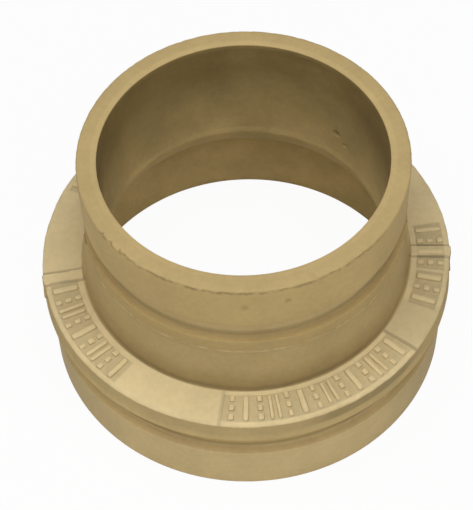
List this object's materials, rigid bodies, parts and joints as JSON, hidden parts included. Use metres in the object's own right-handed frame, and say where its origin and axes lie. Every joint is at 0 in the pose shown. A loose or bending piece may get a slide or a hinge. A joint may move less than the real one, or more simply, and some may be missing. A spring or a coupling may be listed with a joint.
{
  "type": "grooved reducer",
  "caption": "Short cast pipe reducer with a turned groove at each end, a flat shoulder below the neck and an open bore that flares inside.",
  "frame": {"origin": "centre of the large end face, in the middle of the bottom of the part", "axes": "+Z along the bore's axis from the large end to the small end; -Y is the front of the picture and +X its right"},
  "size_m": [0.1173, 0.1168, 0.0762],
  "materials": {
    "coated_iron": "ductile iron under one thin matt tan-gold coat; the ends, grooves and seats are turned smooth below it and the rest has a fine cast grain"
  },
  "bodies": {
    "root": {"reducer_body": "coated_iron"}
  },
  "joints": []
}
